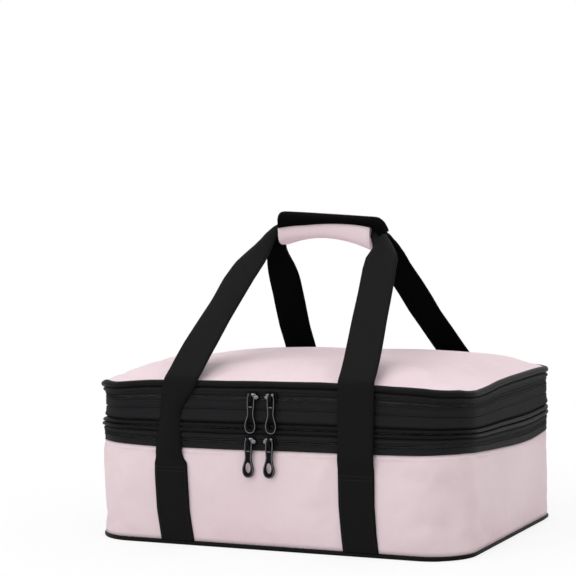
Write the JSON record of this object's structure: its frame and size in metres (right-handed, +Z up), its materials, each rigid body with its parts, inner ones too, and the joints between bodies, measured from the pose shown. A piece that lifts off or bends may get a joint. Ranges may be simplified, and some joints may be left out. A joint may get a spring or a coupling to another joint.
{
  "type": "casserole carrier",
  "caption": "Soft insulated carrier for hot dishes, with a lower and an upper zipped compartment, a fold that lets the upper one rise, and webbing handles joined by a padded wrap.",
  "frame": {"origin": "middle of the base panel's underside, on the surface that the carrier stands on", "axes": "+X to the right seen from the front, +Z up, the zip pulls on the front side at -Y"},
  "size_m": [0.416, 0.3128, 0.3328],
  "materials": {
    "pink_fabric": "matt coated weave",
    "black_fabric": "matt weave",
    "piping": "smooth bound edge",
    "webbing": "ribbed weave",
    "zip": "woven tape with nylon coil",
    "liner": "silvery sheet",
    "foam": "closed-cell foam",
    "board": "stiff sheet",
    "hook_and_loop": "napped tape",
    "cast_metal": "glossy black plate over a casting"
  },
  "bodies": {
    "base": {"base_panel": "black_fabric", "base_board": "board", "base_piping": "piping", "lower_wall": "pink_fabric", "lower_wall_foam": "foam", "lower_floor_foam": "foam", "lower_liner": "liner", "lower_zip_tape": "zip", "lower_zip_coil": "zip", "lower_hinge": "black_fabric", "front_left_strap_sewn": "webbing", "front_right_strap_sewn": "webbing", "rear_left_strap_sewn": "webbing", "rear_right_strap_sewn": "webbing"},
    "deck": {"deck_zip_coil": "zip", "deck_liner": "liner", "deck_panel": "foam", "deck_band": "black_fabric", "deck_piping": "piping", "gusset": "pink_fabric"},
    "crown": {"crown_piping": "piping", "crown_band": "black_fabric", "crown_foam": "foam", "crown_liner": "liner", "crown_zip_coil": "zip", "upper_hinge": "black_fabric"},
    "lid": {"lid_zip_coil": "zip", "lid_band": "black_fabric", "lid_piping": "piping", "lid_shell": "pink_fabric", "lid_foam": "foam", "lid_liner": "liner"},
    "front_handle": {"front_left_strap_run": "webbing", "front_right_strap_run": "webbing"},
    "front_grip": {"front_left_strap_riser": "webbing", "front_right_strap_riser": "webbing", "front_left_strap_leg": "webbing", "front_right_strap_leg": "webbing", "front_grip_web": "webbing"},
    "rear_handle": {"rear_left_strap_run": "webbing", "rear_right_strap_run": "webbing"},
    "rear_riser": {"rear_left_strap_riser": "webbing", "rear_right_strap_riser": "webbing"},
    "rear_grip": {"rear_left_strap_leg": "webbing", "rear_right_strap_leg": "webbing", "rear_grip_web": "webbing", "grip_wrap": "pink_fabric", "grip_loop_tape": "hook_and_loop"},
    "flap": {"grip_flap": "pink_fabric", "grip_hook_tape": "hook_and_loop"},
    "lower_left_slider": {"lower_left_slider": "cast_metal"},
    "lower_left_pull": {"lower_left_pull": "cast_metal"},
    "lower_right_slider": {"lower_right_slider": "cast_metal"},
    "lower_right_pull": {"lower_right_pull": "cast_metal"},
    "upper_left_slider": {"upper_left_slider": "cast_metal"},
    "upper_left_pull": {"upper_left_pull": "cast_metal"},
    "upper_right_slider": {"upper_right_slider": "cast_metal"},
    "upper_right_pull": {"upper_right_pull": "cast_metal"}
  },
  "joints": [
    {"name": "deck_open", "type": "hinge", "parent": "base", "child": "deck", "pos_m": [0, 0.151, 0.10845], "axis": [-1, 0, 0], "range_deg": [0, 90], "deforming": ["lower_hinge"]},
    {"name": "expand", "type": "slide", "parent": "deck", "child": "crown", "axis": [0, 0, 1], "range_m": [0, 0.05], "deforming": ["gusset"]},
    {"name": "lid_open", "type": "hinge", "parent": "crown", "child": "lid", "pos_m": [0, 0.151, 0.15125], "axis": [-1, 0, 0], "range_deg": [0, 95], "deforming": ["upper_hinge"]},
    {"name": "front_handle_swing", "type": "hinge", "parent": "base", "child": "front_handle", "pos_m": [0, -0.1513, 0.08215], "axis": [1, 0, 0], "range_deg": [0, 125], "deforming": ["front_left_strap_run", "front_right_strap_run"]},
    {"name": "front_grip_rise", "type": "slide", "parent": "front_handle", "child": "front_grip", "axis": [0, 0, 1], "range_m": [0, 0.05], "deforming": ["front_left_strap_riser", "front_right_strap_riser", "front_left_strap_leg", "front_right_strap_leg", "front_grip_web"]},
    {"name": "rear_handle_swing", "type": "hinge", "parent": "base", "child": "rear_handle", "pos_m": [0, 0.1513, 0.08215], "axis": [-1, 0, 0], "range_deg": [0, 90], "deforming": ["rear_left_strap_run", "rear_right_strap_run"]},
    {"name": "rear_riser_rise", "type": "slide", "parent": "rear_handle", "child": "rear_riser", "axis": [0, 0, 1], "range_m": [0, 0.05], "deforming": ["rear_left_strap_riser", "rear_right_strap_riser"]},
    {"name": "rear_grip_fold", "type": "hinge", "parent": "rear_riser", "child": "rear_grip", "pos_m": [0, 0.1546, 0.15015], "axis": [-1, 0, 0], "range_deg": [0, 76], "deforming": ["rear_left_strap_leg", "rear_right_strap_leg", "rear_grip_web", "grip_wrap", "grip_loop_tape"]},
    {"name": "flap_open", "type": "hinge", "parent": "rear_grip", "child": "flap", "pos_m": [0, 0.008, 0.3065], "axis": [-1, 0, 0], "range_deg": [0, 100], "deforming": ["grip_flap", "grip_hook_tape"]},
    {"name": "lower_left_zip", "type": "slide", "parent": "base", "child": "lower_left_slider", "axis": [1, 0, 0], "range_m": [-0.1387, 0]},
    {"name": "lower_left_pull_swing", "type": "hinge", "parent": "lower_left_slider", "child": "lower_left_pull", "pos_m": [-0.01525, -0.1544, 0.10845], "axis": [-1, 0, 0], "range_deg": [0, 150]},
    {"name": "lower_right_zip", "type": "slide", "parent": "base", "child": "lower_right_slider", "axis": [1, 0, 0], "range_m": [0, 0.1487]},
    {"name": "lower_right_pull_swing", "type": "hinge", "parent": "lower_right_slider", "child": "lower_right_pull", "pos_m": [0.00525, -0.1544, 0.10845], "axis": [-1, 0, 0], "range_deg": [0, 150]},
    {"name": "upper_left_zip", "type": "slide", "parent": "crown", "child": "upper_left_slider", "axis": [1, 0, 0], "range_m": [-0.1387, 0]},
    {"name": "upper_left_pull_swing", "type": "hinge", "parent": "upper_left_slider", "child": "upper_left_pull", "pos_m": [-0.01525, -0.1544, 0.15125], "axis": [-1, 0, 0], "range_deg": [0, 150]},
    {"name": "upper_right_zip", "type": "slide", "parent": "crown", "child": "upper_right_slider", "axis": [1, 0, 0], "range_m": [0, 0.1487]},
    {"name": "upper_right_pull_swing", "type": "hinge", "parent": "upper_right_slider", "child": "upper_right_pull", "pos_m": [0.00525, -0.1544, 0.15125], "axis": [-1, 0, 0], "range_deg": [0, 150]}
  ],
  "couplings": [
    {"joint": "front_grip_rise", "follows": "expand", "ratio": 1},
    {"joint": "rear_riser_rise", "follows": "expand", "ratio": 1},
    {"joint": "rear_handle_swing", "follows": "deck_open", "ratio": 1},
    {"joint": "rear_grip_fold", "follows": "lid_open", "ratio": 0.8}
  ]
}
